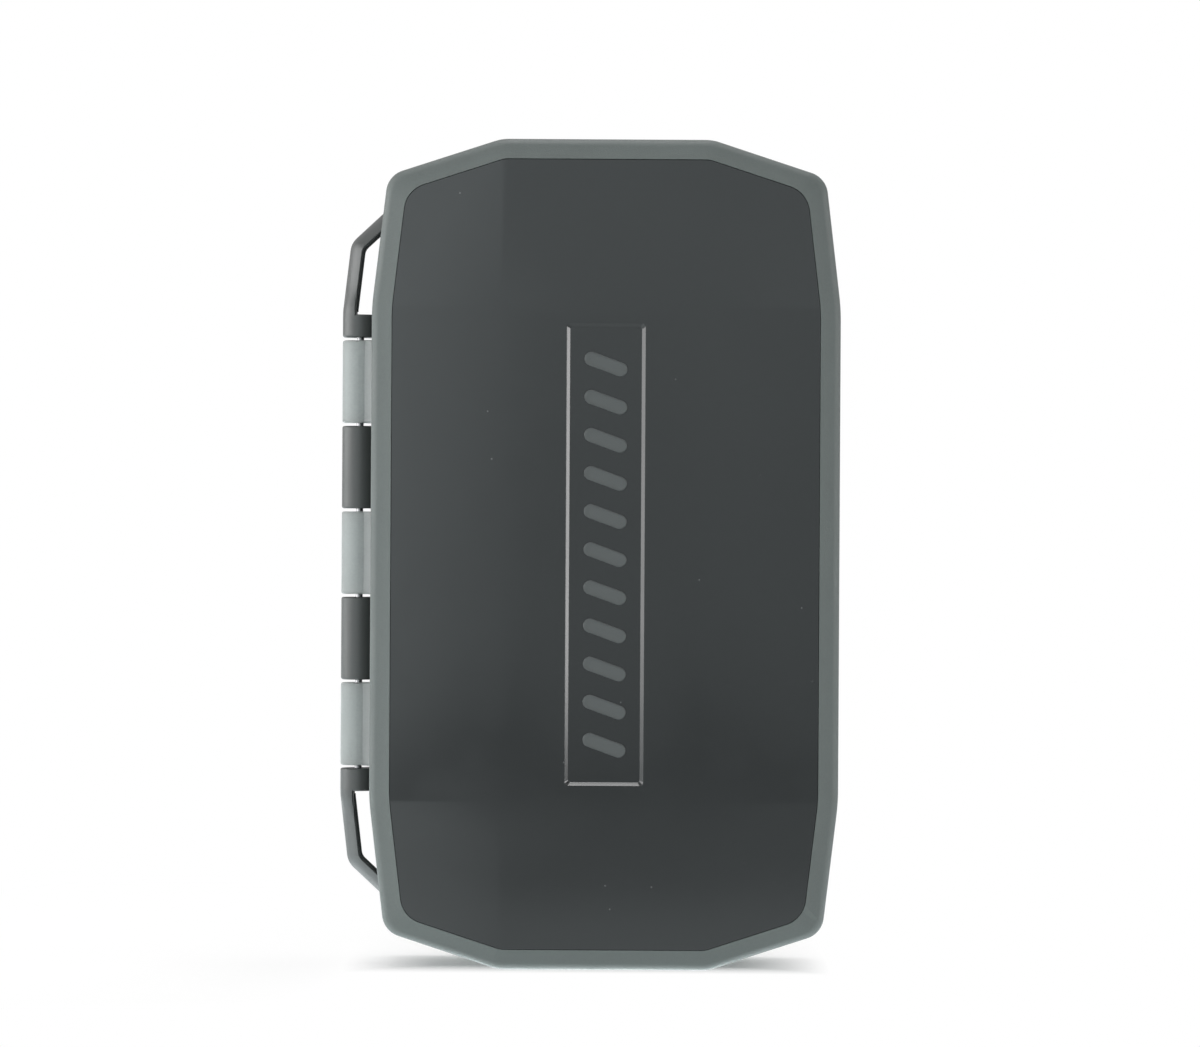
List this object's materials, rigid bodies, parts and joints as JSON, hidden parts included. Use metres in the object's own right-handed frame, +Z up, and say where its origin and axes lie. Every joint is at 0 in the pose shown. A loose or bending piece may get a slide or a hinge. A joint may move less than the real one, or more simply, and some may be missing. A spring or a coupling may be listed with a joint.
{
  "type": "fly box",
  "caption": "Slim hinged case with a faceted lid panel, a raised rim, a knuckle hinge with lanyard loops, and foam inside for fishing flies.",
  "frame": {"origin": "middle of the overall box, on the surface that the case stands on: its lower end", "axes": "+Z up along the case's length, -Y out of the lid's face, -X towards the hinge"},
  "size_m": [0.1118, 0.0378, 0.185],
  "materials": {
    "shell": "fine moulded texture, grey with a slight green tint",
    "panel": "smooth smoky dark grey",
    "lid_tray": "light grey, satin",
    "base_tray": "dark grey, satin",
    "foam": "closed-cell foam with slits",
    "seal": "black rubber",
    "magnet": "nickel plated",
    "pin": "drawn steel"
  },
  "bodies": {
    "base": {"base_shell": "shell", "base_panel": "panel", "base_tray": "base_tray", "base_foam": "foam", "seal": "seal", "base_magnet_upper": "magnet", "base_magnet_lower": "magnet", "base_magnet_cover_upper": "base_tray", "base_magnet_cover_lower": "base_tray", "hinge_pin": "pin"},
    "lid": {"lid_shell": "shell", "lid_panel": "panel", "lid_tray": "lid_tray", "lid_foam": "foam", "lid_magnet_upper": "magnet", "lid_magnet_lower": "magnet", "lid_magnet_cover_upper": "lid_tray", "lid_magnet_cover_lower": "lid_tray"}
  },
  "joints": [
    {"name": "lid_hinge", "type": "hinge", "parent": "base", "child": "lid", "pos_m": [-0.05187, 0, 0.0925], "axis": [0, 0, -1], "range_deg": [0, 180]}
  ]
}
